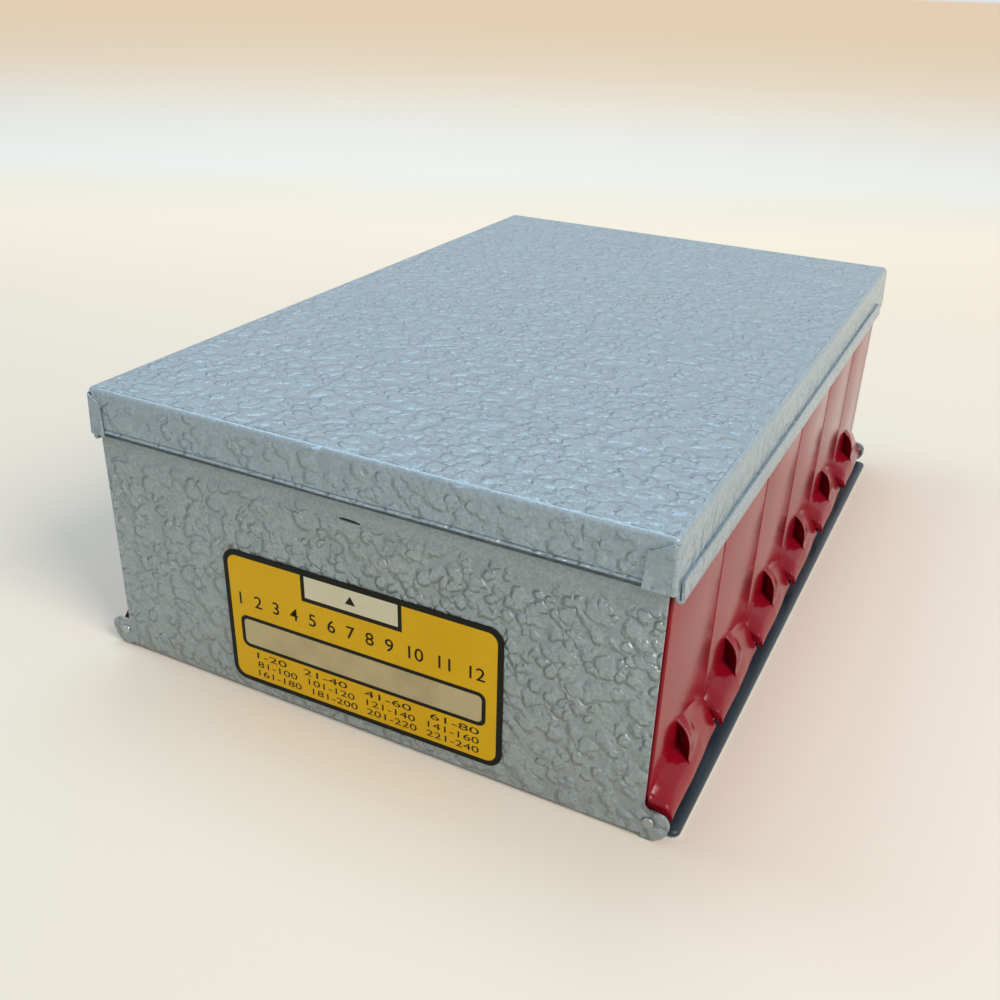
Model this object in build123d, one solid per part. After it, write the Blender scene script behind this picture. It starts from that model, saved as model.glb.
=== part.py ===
from build123d import *
import os

# Slide storage box: a bent case sheet, twelve tipping compartments on two rods, and a lift-off lid.
# Frame: millimetres, +X right, +Y to the rear, +Z up, origin at the middle of the base on the floor.

# Overall sizes
total_height = 56.0
case_length = 169.2
panel_width = 108.9
running_gap = 0.05

# Case sheet
case_sheet = 0.6
case_bend = 1.2
joggle_height = 46.2
joggle_depth = 0.6
ear_radius = 2.95
ear_outset = 1.65
ear_fillet = 0.7
slit_width = 4.3
slit_height = 0.6
slit_z = 43.3
slit_x = -0.3

# Lid
lid_sheet = 0.5
lid_overhang = 1.0
lid_edge_radius = 1.0
side_lean_per_mm = 0.056
front_skirt_bottom = 47.6
tab_bottom = 47.0
side_skirt_bottom = 45.2
hem_top = 48.2
hem_reach = 0.6
hem_ledge = 0.8
hem_sheet = 0.4
hem_start = 1.2
hem_end_cut = 8.0
tab_width = 4.9
tab_low_top = 53.4
tab_high_top = 55.4

# Hinge rods
rod_radius = 1.6
rod_height = 3.66
rod_outset = 1.1
rod_neck_radius = 0.6
rod_head_radius = 1.0
rod_head_height = 0.35
rod_end_gap = 0.1

# Compartments
compartments_per_side = 6
pitch = 27.8
compartment_length = 27.4
compartment_wall = 1.5
compartment_end_wall = 1.0
compartment_edge_radius = 0.8
compartment_floor = 1.5
compartment_bottom = 2.0
compartment_top = 46.2
wall_outset = 0.45
centre_half_gap = 0.3
knuckle_radius = 2.2
foot_reach = 3.45
relief_radius = 3.0
relief_length = 3.0
foot_rise = 4.2
hood_start = 11.0
hood_fall = 7.0
hood_hollow_depth = 3.2
hood_rim = 0.4

# Base tray
tray_sheet = 0.6
tray_outset = 5.65
tray_end_gap = 2.2
tray_corner = 1.5

# Label, springs and index card
label_width = 56.9
label_height = 28.1
label_sheet = 0.3
label_x = 0.5
label_z = 17.1
label_corner = 2.8
label_turn = 0.75
spring_width = 12.0
spring_sheet = 0.25
spring_eye_radius = 0.3
spring_eye_z = 54.0
spring_bottom = 48.6
spring_nib_z = 49.6
card_sheet = 0.3
card_x_margin = 5.0
card_y_margin = 6.0

# Positions that follow from the sizes above
front_face = case_length / 2
panel_edge = panel_width / 2
panel_top = total_height - lid_sheet - running_gap
joggle_top = joggle_height + joggle_depth
joggle_back = case_sheet * 0.4142
rod_x = panel_edge + rod_outset
wall_x = panel_edge + wall_outset
ear_x = panel_edge + ear_outset
ear_top = 2 * ear_radius
foot_x = rod_x + foot_reach
row_start = -(compartments_per_side * pitch - (pitch - compartment_length)) / 2
tray_half_width = panel_edge + tray_outset
lid_half_width = panel_edge + lid_overhang
lid_half_length = front_face + lid_overhang


def sheet_box(x_low, x_high, y_low, y_high, z_low, z_high):
    """A plain block between two corners."""
    size = (x_high - x_low, y_high - y_low, z_high - z_low)
    centre = ((x_low + x_high) / 2, (y_low + y_high) / 2, (z_low + z_high) / 2)
    return Pos(*centre) * Box(*size)


def along_y(radius, x, z, y_low, y_high):
    """A round bar along Y."""
    bar = Cylinder(radius, y_high - y_low)
    return Pos(x, (y_low + y_high) / 2, z) * Rot(X=90) * bar


def along_x(radius, y, z, half_length):
    """A round bar along X, centred on the middle plane."""
    return Pos(0, y, z) * Rot(Y=90) * Cylinder(radius, 2 * half_length)


def plate_xz(points, y_low, y_high):
    """A flat outline in X and Z, thickened along Y."""
    face = make_face(Polyline([(x, y_low, z) for x, z in points], close=True))
    return extrude(face, amount=y_high - y_low, dir=(0, 1, 0))


def plate_yz(points, half_width):
    """A flat outline in Y and Z, thickened along X."""
    face = make_face(Polyline([(-half_width, y, z) for y, z in points], close=True))
    return extrude(face, amount=2 * half_width, dir=(1, 0, 0))


def save(name, shape):
    """Write one part."""
    shape.label = name
    export_step(shape, f"parts/{name}.step")


def make_case():
    """One sheet bent into front panel, bottom and rear panel, with ears and a set-back band."""
    back = front_face - joggle_depth
    inner = front_face - case_sheet
    inner_back = back - case_sheet
    outside = [(-back, panel_top), (-back, joggle_top), (-front_face, joggle_height)]
    outside += [(-front_face, 0), (front_face, 0), (front_face, joggle_height)]
    outside += [(back, joggle_top), (back, panel_top)]
    inside = [(inner_back, panel_top), (inner_back, joggle_top - joggle_back)]
    inside += [(inner, joggle_height - joggle_back), (inner, case_sheet)]
    inside += [(-inner, case_sheet), (-inner, joggle_height - joggle_back)]
    inside += [(-inner_back, joggle_top - joggle_back), (-inner_back, panel_top)]
    case = plate_yz(outside + inside, panel_edge)
    level = case.edges().filter_by(Axis.X)
    outer_bends = [e for e in level if abs(e.center().Z) < 0.01]
    inner_bends = [e for e in level if abs(e.center().Z - case_sheet) < 0.01]
    case = fillet(outer_bends, case_bend)
    level = case.edges().filter_by(Axis.X)
    inner_bends = [e for e in level if abs(e.center().Z - case_sheet) < 0.01]
    inner_bends = [e for e in inner_bends if abs(abs(e.center().Y) - inner) < 0.01]
    case = fillet(inner_bends, case_bend - case_sheet)
    for side in (-1, 1):
        for end in (-1, 1):
            y_low = min(end * front_face, end * inner)
            y_high = y_low + case_sheet
            near = side * panel_edge
            middle = side * ear_x
            far = side * (ear_x + 2 * ear_radius)
            ear = along_y(ear_radius, middle, ear_radius, y_low, y_high)
            ear += sheet_box(min(near, middle), max(near, middle), y_low, y_high, 0, ear_top)
            keep = sheet_box(min(near, far), max(near, far), y_low, y_high, 0, ear_top)
            hole_radius = rod_neck_radius + running_gap
            hole = along_y(hole_radius, side * rod_x, rod_height, y_low - 1, y_high + 1)
            case = case + (ear & keep)
            corner = [e for e in case.edges().filter_by(Axis.Y) if abs(e.center().Z - ear_top) < 0.01]
            corner = [e for e in corner if abs(e.center().X - near) < 0.01 and e.center().Y * end > 0]
            case = fillet(corner, ear_fillet) - hole
    slit_low = slit_x - slit_width / 2
    slit_high = slit_x + slit_width / 2
    slit_base = slit_z - slit_height / 2
    slit_end = slit_base + slit_height
    return case - sheet_box(slit_low, slit_high, -front_face - 1, -inner + 0.1, slit_base, slit_end)


def make_tray():
    """Low sheet under the compartments with its long edges turned down to the floor."""
    top = case_sheet + running_gap + tray_sheet
    half_length = front_face - tray_end_gap
    tray = sheet_box(-tray_half_width, tray_half_width, -half_length, half_length, 0, top)
    tray = fillet(tray.edges().filter_by(Axis.Z), tray_corner)
    edges = [e for e in tray.edges().filter_by(Axis.Y) if e.center().Z > top / 2]
    tray = fillet(edges, tray_sheet)
    inside = tray_half_width - tray_sheet
    return tray - sheet_box(-inside, inside, -front_face, front_face, -1, top - tray_sheet)


def make_rod(side):
    """Hinge rod with a thin neck through each ear and a riveted head outside it."""
    shoulder = front_face - case_sheet - rod_end_gap
    head_base = front_face + running_gap / 2
    head_end = head_base + rod_head_height
    x = side * rod_x
    rod = along_y(rod_radius, x, rod_height, -shoulder, shoulder)
    rod += along_y(rod_neck_radius, x, rod_height, -head_base - 0.1, head_base + 0.1)
    for low, high in ((-head_end, -head_base), (head_base, head_end)):
        head = along_y(rod_head_radius, x, rod_height, low, high)
        outer = [e for e in head.edges() if abs(abs(e.center().Y) - head_end) < 0.01]
        rod += fillet(outer, rod_head_height * 0.8)
    return rod


def foot_section(y, wall_height, curve, corner):
    """Foot outline at one Y: the curve from the wall to the outer corner, closed below the rod."""
    inner = wall_x - compartment_wall / 2
    upper = [(wall_x, y, wall_height)] + [(wall_x + x, y, z) for x, z in curve]
    upper.append((corner[0], y, corner[1]))
    start = (inner, y, wall_height)
    low_outer = (rod_x + knuckle_radius * 0.93, y, rod_height - knuckle_radius * 0.36)
    low_inner = (inner, y, rod_height - knuckle_radius * 0.5)
    edges = [Spline(upper), Line(upper[-1], low_outer), Line(low_outer, low_inner)]
    edges += [Line(low_inner, start), Line(start, upper[0])]
    return make_face(edges)


def make_foot(y_start):
    """Moulded foot of a right-hand compartment: front slope, raised hood with a hollow, rear slope."""
    y_full = y_start + foot_rise
    y_hood = y_start + hood_start
    y_hollow = y_hood + hood_hollow_depth
    y_end = y_start + compartment_length
    corner = (foot_x - 0.05, 4.9)
    hood_curve = [(0.7, 14.8), (1.7, 13.9), (2.45, 12.4), (2.75, 10.4), (2.7, 8.2)]
    front = foot_section(y_start, 7.7, [(0.5, 7.25), (1.3, 7.05), (2.6, 6.85)], (foot_x + 0.05, 5.1))
    full = foot_section(y_full, 9.3, [(0.6, 8.95), (1.3, 8.55), (2.66, 7.85)], corner)
    foot = loft([front, full], ruled=True)
    foot += extrude(full, amount=y_hollow - y_full, dir=(0, 1, 0))
    hood = foot_section(y_hood, 15.2, hood_curve, corner)
    fall_curve = [(0.5, 11.3), (1.2, 10.2), (1.9, 9.0), (2.5, 7.8), (3.0, 6.6)]
    fall = foot_section(y_hood + hood_fall, 12.2, fall_curve, (foot_x - 0.4, 4.4))
    end_curve = [(0.4, 8.0), (0.9, 7.2), (1.4, 6.4), (1.95, 5.6), (2.5, 4.8)]
    end = foot_section(y_end, 9.2, end_curve, (foot_x - 0.9, 3.8))
    hood = loft([hood, fall], ruled=True) + loft([fall, end], ruled=True)
    inner_curve = [(x - hood_rim, z - hood_rim) for x, z in hood_curve]
    inner_curve[-1] = (hood_curve[-1][0] - hood_rim / 2, hood_curve[-1][1])
    roof = foot_section(y_hood, 15.2 - hood_rim, inner_curve, (corner[0] - hood_rim, corner[1]))
    roof = extrude(roof, amount=hood_hollow_depth, dir=(0, 1, 0))
    back = wall_x - compartment_wall / 4
    wedge = Polyline([(back, y_hood), (wall_x + 3.2, y_hood), (back, y_hollow)], close=True)
    wedge = extrude(make_face(wedge), amount=total_height / 2)
    return foot + (hood - (roof & wedge))


def make_compartment(y_start):
    """Right-hand compartment: open box with a foot and a knuckle round the hinge rod."""
    y_end = y_start + compartment_length
    low = centre_half_gap
    body = sheet_box(low, wall_x, y_start, y_end, compartment_bottom, compartment_top)
    upright = body.edges().filter_by(Axis.Z)
    body = fillet(upright, compartment_edge_radius)
    body += make_foot(y_start)
    body += along_y(knuckle_radius, rod_x, rod_height, y_start, y_end)
    inside_low = low + compartment_wall
    inside_high = wall_x - compartment_wall
    inside_start = y_start + compartment_end_wall
    inside_end = y_end - compartment_end_wall
    inside_floor = compartment_bottom + compartment_floor
    top = compartment_top + 1
    body -= sheet_box(inside_low, inside_high, inside_start, inside_end, inside_floor, top)
    body -= along_y(rod_radius + running_gap, rod_x, rod_height, y_start - 1, y_end + 1)
    relief = along_y(relief_radius, rod_x, rod_height, y_start - 1, y_start + relief_length)
    outside = sheet_box(wall_x, foot_x + 5, y_start - 1, y_end, 0, 4 * relief_radius)
    return body - (relief & outside)


def lid_side(z):
    """Half width of the lid's outer face at height z."""
    return lid_half_width + side_lean_per_mm * (total_height - z)


def make_tab(side):
    """Tab at the front of one side skirt, wrapped over the front skirt."""
    base = lid_side(tab_bottom)
    inner = lid_half_width - tab_width
    points = [(inner, tab_bottom), (inner + 0.4, tab_low_top)]
    points += [(lid_half_width - 0.4, tab_high_top), (lid_side(tab_high_top), tab_high_top - 0.6)]
    points += [(base, tab_bottom)]
    y_outer = -lid_half_length - running_gap - lid_sheet
    tab = plate_xz([(side * x, z) for x, z in points], y_outer, -lid_half_length - running_gap)
    fold = [(base, tab_bottom), (base - lid_sheet, tab_bottom)]
    fold += [(lid_half_width - lid_sheet, tab_high_top - 0.6), (lid_side(tab_high_top), tab_high_top - 0.6)]
    return tab + plate_xz([(side * x, z) for x, z in fold], y_outer, -lid_half_length + 0.1)


def make_hem(side):
    """Hem of one side skirt, folded outward, up and back in, cut off before the rear corner."""
    low = side_skirt_bottom
    ledge = hem_top + hem_ledge
    inside = hem_reach - hem_sheet
    points = [(lid_side(low) - 0.1, low), (lid_side(low) + hem_reach, low)]
    points += [(lid_side(hem_top) + hem_reach, hem_top), (lid_side(ledge) + running_gap, ledge)]
    points += [(lid_side(ledge) + running_gap, ledge - hem_sheet)]
    points += [(lid_side(hem_top) + inside, hem_top - hem_sheet)]
    points += [(lid_side(low) + inside, low + hem_sheet), (lid_side(low) - 0.1, low + hem_sheet)]
    y_low = -lid_half_length + hem_start
    hem = plate_xz([(side * x, z) for x, z in points], y_low, lid_half_length - hem_end_cut)
    return hem


def make_lid():
    """Lid sheet: top, front and rear skirts, leaning side skirts, corner tabs and hems."""
    low = side_skirt_bottom
    top = total_height
    outline = [(-lid_side(low), low), (-lid_side(top), top), (lid_side(top), top), (lid_side(low), low)]
    lid = plate_xz(outline, -lid_half_length, lid_half_length)
    top_edges = [e for e in lid.edges() if abs(e.center().Z - top) < 0.01]
    lid = fillet(top_edges, lid_edge_radius)
    under = top - lid_sheet
    inner = [(-lid_side(low) + lid_sheet, low - 1), (-lid_side(under) + lid_sheet, under)]
    inner += [(-x, z) for x, z in reversed(inner)]
    cavity = plate_xz(inner, -lid_half_length + lid_sheet, lid_half_length - lid_sheet)
    cavity_edges = [e for e in cavity.edges() if abs(e.center().Z - under) < 0.01]
    lid -= fillet(cavity_edges, lid_edge_radius - lid_sheet)
    reach = lid_half_width + 3
    for end in (-1, 1):
        near = end * (lid_half_length - hem_start)
        far = end * (lid_half_length + 1)
        lid -= sheet_box(-reach, reach, min(near, far), max(near, far), low - 1, tab_bottom)
        inside = lid_half_width - lid_sheet
        lid -= sheet_box(-inside, inside, min(near, far), max(near, far), low - 1, front_skirt_bottom)
    for side in (-1, 1):
        tab = make_tab(side)
        lid += tab
        lid += mirror(tab, about=Plane.XZ)
        lid += make_hem(side)
    return lid


def make_label():
    """Thin printed plate, stuck on slightly turned."""
    plate = Box(label_width, label_sheet, label_height)
    plate = fillet(plate.edges().filter_by(Axis.Y), label_corner)
    return Pos(label_x, -front_face - label_sheet / 2, label_z) * Rot(Y=-label_turn) * plate


def make_spring():
    """Front friction spring: rolled eye at the top, flat strip, and a nib that rests on the panel."""
    y = -lid_half_length + lid_sheet + spring_eye_radius + 2 * running_gap
    half = spring_width / 2
    sheet = spring_sheet / 2
    spring = sheet_box(-half, half, y - sheet, y + sheet, spring_bottom, spring_eye_z)
    spring += along_x(spring_eye_radius, y, spring_eye_z, half)
    band = front_face - joggle_depth
    nib = -band - running_gap - y
    spring += along_x(nib, y, spring_nib_z, half / 2) - sheet_box(
        -half, half, y - 2, y, spring_nib_z - 2, spring_nib_z + 2
    )
    return spring


def make_card():
    """Index card under the lid's top."""
    high = total_height - lid_sheet - 3 * running_gap
    half_x = lid_half_width - card_x_margin
    half_y = lid_half_length - card_y_margin
    return sheet_box(-half_x, half_x, -half_y, half_y, high - card_sheet, high)


os.makedirs("parts", exist_ok=True)
save("case_shell", make_case())
save("base_tray", make_tray())
save("hinge_rod_right", make_rod(1))
save("hinge_rod_left", make_rod(-1))
for number in range(compartments_per_side):
    right = make_compartment(row_start + number * pitch)
    save(f"compartment_right_{number + 1}", right)
    save(f"compartment_left_{compartments_per_side - number}", Rot(Z=180) * right)
save("lid_shell", make_lid())
save("label_plate", make_label())
front_spring = make_spring()
save("lid_spring_front", front_spring)
save("lid_spring_rear", mirror(front_spring, about=Plane.XZ))
save("index_card", make_card())
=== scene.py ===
"""Looks of a slide storage box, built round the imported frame.

Every length in the classes below is in millimetres, in the row frame: +X right, +Y to the rear, +Z up.
"""

import logging
import math
from collections.abc import Callable, Sequence
from dataclasses import dataclass
from enum import Enum

import bmesh
import bpy
from mathutils import Matrix, Vector

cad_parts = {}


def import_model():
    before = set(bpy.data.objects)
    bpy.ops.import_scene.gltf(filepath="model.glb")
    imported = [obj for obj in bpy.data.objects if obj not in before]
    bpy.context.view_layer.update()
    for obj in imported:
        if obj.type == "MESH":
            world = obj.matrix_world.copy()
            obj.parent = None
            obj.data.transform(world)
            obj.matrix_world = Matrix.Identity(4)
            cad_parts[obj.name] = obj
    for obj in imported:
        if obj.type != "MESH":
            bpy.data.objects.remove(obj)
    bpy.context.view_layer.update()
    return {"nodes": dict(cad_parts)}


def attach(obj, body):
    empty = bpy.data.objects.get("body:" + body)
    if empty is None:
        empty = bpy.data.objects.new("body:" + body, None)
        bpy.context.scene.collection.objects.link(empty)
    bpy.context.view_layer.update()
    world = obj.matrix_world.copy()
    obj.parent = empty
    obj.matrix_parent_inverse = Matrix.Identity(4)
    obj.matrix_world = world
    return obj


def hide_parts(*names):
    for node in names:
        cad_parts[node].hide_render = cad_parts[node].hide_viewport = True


MM = 0.001
LOG = logging.getLogger("slide_box")
Point = tuple[float, float, float]
Flat = tuple[float, float]
Placing = Callable[[float, float, float], Point]
Socket = bpy.types.NodeSocket
Material = bpy.types.Material
Object = bpy.types.Object


class Side(Enum):
    """The two long sides of the box."""

    RIGHT = 1
    LEFT = -1


class End(Enum):
    """The two short ends of the box."""

    FRONT = -1
    REAR = 1


class Graph:
    """Builds the nodes of one material."""

    def __init__(self, name: str) -> None:
        """Starts a material with a Principled shader.

        Args:
            name: Name of the material.
        """
        self.material = bpy.data.materials.new(name)
        self.material.use_nodes = True
        self.tree = self.material.node_tree
        self.shader = self.tree.nodes["Principled BSDF"]
        self.place = self.node("ShaderNodeTexCoord").outputs["Object"]

    def node(self, kind: str, **settings: object) -> bpy.types.Node:
        """Adds one node.

        Args:
            kind: Blender's name of the node type.
            settings: Properties to set on it.

        Returns:
            The new node.
        """
        made = self.tree.nodes.new(kind)
        for key, value in settings.items():
            setattr(made, key, value)
        return made

    def feed(self, socket: Socket, value: object) -> None:
        """Gives a socket a constant or a link.

        Args:
            socket: The input to fill.
            value: An output socket, a number or a tuple.
        """
        if isinstance(value, Socket):
            self.tree.links.new(value, socket)
        elif isinstance(value, tuple) and len(value) == 3 and socket.type == "RGBA":
            socket.default_value = (*value, 1.0)
        else:
            socket.default_value = value

    def math(self, operation: str, *values: object, clamp: bool = False) -> Socket:
        """A math node on numbers or sockets.

        Args:
            operation: Name of the operation.
            values: Its inputs in order.
            clamp: Whether the result stays between 0 and 1.

        Returns:
            The result.
        """
        made = self.node("ShaderNodeMath", operation=operation, use_clamp=clamp)
        for socket, value in zip(made.inputs, values):
            self.feed(socket, value)
        return made.outputs[0]

    def vector(self, operation: str, *values: object) -> Socket:
        """A vector math node.

        Args:
            operation: Name of the operation.
            values: Its inputs in order.

        Returns:
            The resulting vector, or number for a dot product or a length.
        """
        made = self.node("ShaderNodeVectorMath", operation=operation)
        for socket, value in zip(made.inputs, values):
            self.feed(socket, value)
        return made.outputs["Value" if operation in ("DOT_PRODUCT", "LENGTH") else "Vector"]

    def noise(self, place: Socket, scale: float, detail: float = 2.0) -> bpy.types.Node:
        """Noise texture at a place.

        Args:
            place: Coordinates in metres.
            scale: Features per metre.
            detail: Octaves.

        Returns:
            The noise node.
        """
        made = self.node("ShaderNodeTexNoise")
        self.feed(made.inputs["Vector"], place)
        made.inputs["Scale"].default_value = scale
        made.inputs["Detail"].default_value = detail
        return made

    def cells(self, place: Socket, spacing: float, feature: str) -> bpy.types.Node:
        """Cell texture at a place.

        Args:
            place: Coordinates in metres.
            spacing: Distance between cells in millimetres.
            feature: What the texture measures.

        Returns:
            The texture node.
        """
        made = self.node("ShaderNodeTexVoronoi", feature=feature)
        self.feed(made.inputs["Vector"], place)
        made.inputs["Scale"].default_value = 1 / (spacing * MM)
        return made

    def parts(self, kind: str, value: Socket) -> list[Socket]:
        """Splits a vector or a colour into its three numbers.

        Args:
            kind: "XYZ" for a vector, "Color" for a colour.
            value: What to split.

        Returns:
            The three numbers.
        """
        made = self.node(f"ShaderNodeSeparate{kind}")
        self.feed(made.inputs[0], value)
        return list(made.outputs)[:3]

    def span(self, value: object, low: float, high: float, out_low: float, out_high: float) -> Socket:
        """Maps one range smoothly onto another.

        Args:
            value: Number to map.
            low: Where the result is out_low.
            high: Where the result is out_high.
            out_low: Result at low.
            out_high: Result at high.

        Returns:
            The mapped number.
        """
        made = self.node("ShaderNodeMapRange", interpolation_type="SMOOTHSTEP")
        for index, item in enumerate((value, low, high, out_low, out_high)):
            self.feed(made.inputs[index], item)
        return made.outputs[0]

    def mix(self, share: object, first: object, second: object) -> Socket:
        """Mixes two colours.

        Args:
            share: How much of the second.
            first: First colour.
            second: Second colour.

        Returns:
            The mixed colour.
        """
        made = self.node("ShaderNodeMix", data_type="RGBA")
        self.feed(made.inputs[0], share)
        self.feed(made.inputs[6], first)
        self.feed(made.inputs[7], second)
        return made.outputs[2]

    def bump(self, height: Socket, strength: float, depth: float) -> None:
        """Feeds a height to the shader's normal.

        Args:
            height: Height from 0 to 1.
            strength: Bump strength.
            depth: Depth in millimetres of a height of 1.
        """
        made = self.node("ShaderNodeBump")
        made.inputs["Strength"].default_value = strength
        made.inputs["Distance"].default_value = depth * MM
        self.feed(made.inputs["Height"], height)
        self.feed(self.shader.inputs["Normal"], made.outputs[0])

    def set(self, **values: object) -> None:
        """Fills the shader's inputs, with underscores for the spaces of their names."""
        for key, value in values.items():
            self.feed(self.shader.inputs[key.replace("_", " ")], value)


@dataclass(frozen=True)
class EmbossedEnamel:
    """Grey enamel on sheet steel embossed with rounded pebbles of mixed sizes."""

    name: str = "embossed_grey_enamel"
    colour: Point = (0.345, 0.412, 0.435)
    # Darker colour mixed into the crevices between pebbles: partly dirt, partly painted shade.
    crevice_shade_and_dirt: Point = (0.265, 0.32, 0.34)
    cobbles: Flat = (3.9, 2.5)
    cobble_blend: float = 0.12
    cobble_height: float = 0.78
    discs: tuple[tuple[float, float, float, float], ...] = ((5.4, 0.32, 0.50, 0.95), (3.6, 0.30, 0.46, 0.85))
    flat_share: float = 0.5
    lowest_disc: float = 0.55
    disc_blend: float = 0.1
    wander: float = 2.6
    fine_height: float = 0.10
    rolling_height: float = 0.22
    depth: float = 0.9
    roughness: Flat = (0.33, 0.40)
    smooth_bands: tuple[Point, ...] = ()
    ragged_edge: float = 1.1
    smooth_side: float = 200.0
    side_relief: float = 0.3

    def pebble_layer(self, graph: Graph, place: Socket, sizes: Sequence[float]) -> Socket:
        """One scatter of round, flat-topped pebbles.

        Args:
            graph: The material's nodes.
            place: Warped coordinates.
            sizes: Spacing in millimetres, smallest and largest radius as shares of it, and height.

        Returns:
            The height.
        """
        spacing, small, large, tall = sizes
        cells = graph.cells(place, spacing, "F1")
        first, second, _ = graph.parts("Color", cells.outputs["Color"])
        radius = graph.span(first, 0.0, 1.0, small, large)
        inner = graph.math("MULTIPLY", radius, self.flat_share)
        height = graph.math("MULTIPLY", graph.span(second, 0.0, 1.0, self.lowest_disc, 1.0), tall)
        return graph.math("MULTIPLY", graph.span(cells.outputs["Distance"], inner, radius, 1.0, 0.0), height)

    def relief(self, graph: Graph, place: Socket) -> tuple[Socket, Socket]:
        """Works out touching pebbles of two sizes in patches, with rounder discs over them.

        Args:
            graph: The material's nodes.
            place: Warped coordinates.

        Returns:
            The height, and how near a crevice is (1 inside it).
        """
        layers = []
        for spacing in self.cobbles:
            cells = graph.cells(place, spacing, "SMOOTH_F1")
            cells.inputs["Smoothness"].default_value = self.cobble_blend
            layers.append(graph.span(cells.outputs["Distance"], 0.3, 0.62, self.cobble_height, 0.0))
        patch = graph.span(graph.noise(graph.place, 110, 2).outputs["Fac"], 0.44, 0.56, 0.0, 1.0)
        large = graph.math("MULTIPLY", layers[0], graph.math("SUBTRACT", 1.0, patch))
        height = graph.math("ADD", large, graph.math("MULTIPLY", layers[1], patch))
        for sizes in self.discs:
            height = graph.math("SMOOTH_MAX", height, self.pebble_layer(graph, place, sizes), self.disc_blend)
        return height, graph.span(height, 0.0, 0.4, 1.0, 0.0)

    def mask(self, graph: Graph) -> tuple[Socket, Socket]:
        """How much of the relief is left at each height.

        Args:
            graph: The material's nodes.

        Returns:
            1 where the pebbles are whole, near 0 in a smooth band; and 1 everywhere but on the smoother sides.
        """
        across, _, height = graph.parts("XYZ", graph.place)
        edge = self.ragged_edge * MM
        ragged = graph.span(graph.noise(graph.place, 120, 3).outputs["Fac"], 0.2, 0.8, -edge, edge)
        level = graph.math("ADD", height, ragged)
        left = graph.span(level, -1.0, -0.9, 0.0, 1.0)
        for low, high, fade in self.smooth_bands:
            rise = graph.span(level, (low - fade) * MM, low * MM, 0.0, 0.92)
            fall = graph.span(height, high * MM, (high + 0.02) * MM, 1.0, 0.0)
            left = graph.math("SUBTRACT", left, graph.math("MULTIPLY", rise, fall))
        out = graph.math("ABSOLUTE", across)
        side = graph.span(out, (self.smooth_side - 0.2) * MM, self.smooth_side * MM, 1.0, self.side_relief)
        return graph.math("MULTIPLY", left, side), side

    def make(self) -> Material:
        """Builds the finish.

        Returns:
            The material.
        """
        graph = Graph(self.name)
        drift = graph.noise(graph.place, 300, 3).outputs["Color"]
        drift = graph.vector("SUBTRACT", drift, (0.5, 0.5, 0.5))
        drift = graph.vector("SCALE", drift)
        drift.node.inputs["Scale"].default_value = self.wander * MM
        place = graph.vector("ADD", graph.place, drift)
        height, crevice = self.relief(graph, place)
        left, side = self.mask(graph)
        fine = graph.noise(graph.place, 1900, 3).outputs["Fac"]
        rolling = graph.noise(graph.place, 420, 3).outputs["Fac"]
        height = graph.math("MULTIPLY", height, left)
        height = graph.math("ADD", height, graph.math("MULTIPLY", fine, self.fine_height))
        height = graph.math("ADD", height, graph.math("MULTIPLY", rolling, self.rolling_height))
        graph.bump(height, 1.0, self.depth)
        patch = graph.noise(graph.place, 200, 3).outputs["Fac"]
        # Painted shade and dirt: in patches, the crevices between the pebbles are mixed towards the darker crevice
        # colour.
        shade = graph.math("MULTIPLY", crevice, graph.math("MULTIPLY", left, graph.span(patch, 0.35, 0.65, 0.0, 0.5)))
        speck = graph.span(fine, 0.35, 0.68, 0.0, 1.0)
        colour = graph.mix(speck, tuple(v * 0.90 for v in self.colour), tuple(v * 1.12 for v in self.colour))
        colour = graph.mix(shade, colour, self.crevice_shade_and_dirt)
        dirt = graph.noise(graph.place, 45, 5).outputs["Fac"]
        colour = graph.mix(graph.span(dirt, 0.45, 0.75, 0.0, 0.14), colour, tuple(v * 0.8 for v in self.colour))
        smoother = graph.span(side, self.side_relief, 1.0, 0.6, 1.0)
        rough = graph.math("MULTIPLY", graph.span(dirt, 0.3, 0.7, *self.roughness), smoother)
        graph.set(Base_Color=colour, Metallic=0.25, Roughness=rough)
        return graph.material


@dataclass(frozen=True)
class MouldedPlastic:
    """Glossy deep red moulding."""

    name: str = "red_moulding"
    colour: Point = (0.29, 0.004, 0.016)
    deep: Point = (0.235, 0.003, 0.012)

    def make(self) -> Material:
        """Builds the finish.

        Returns:
            The material.
        """
        graph = Graph(self.name)
        broad = graph.noise(graph.place, 60, 3).outputs["Fac"]
        fine = graph.noise(graph.place, 700, 2).outputs["Fac"]
        dust = graph.noise(graph.place, 2600, 2).outputs["Fac"]
        colour = graph.mix(graph.span(broad, 0.35, 0.65, 0.0, 0.6), self.colour, self.deep)
        colour = graph.mix(graph.span(dust, 0.74, 0.80, 0.0, 0.25), colour, (0.5, 0.38, 0.34))
        height = graph.math("ADD", graph.math("MULTIPLY", fine, 0.25), graph.math("MULTIPLY", broad, 2.0))
        graph.bump(height, 0.12, 0.05)
        rough = graph.span(broad, 0.3, 0.7, 0.14, 0.19)
        graph.set(Base_Color=colour, Roughness=rough, Specular_IOR_Level=0.3)
        return graph.material


@dataclass(frozen=True)
class PlainFinish:
    """Even finish with slight mottling, wear and a fine surface."""

    name: str
    colour: Point
    worn: Point
    roughness: Flat
    metallic: float = 0.0
    grain: float = 700.0
    depth: float = 0.02
    stain: float = 0.35
    gloss: float = 0.5

    def make(self) -> Material:
        """Builds the finish.

        Returns:
            The material.
        """
        graph = Graph(self.name)
        broad = graph.noise(graph.place, 90, 4).outputs["Fac"]
        fine = graph.noise(graph.place, self.grain, 4).outputs["Fac"]
        colour = graph.mix(graph.span(broad, 0.4, 0.7, 0.0, self.stain), self.colour, self.worn)
        graph.bump(fine, 0.4, self.depth)
        rough = graph.span(broad, 0.3, 0.7, *self.roughness)
        graph.set(Base_Color=colour, Roughness=rough, Metallic=self.metallic, Specular_IOR_Level=self.gloss)
        return graph.material


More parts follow.
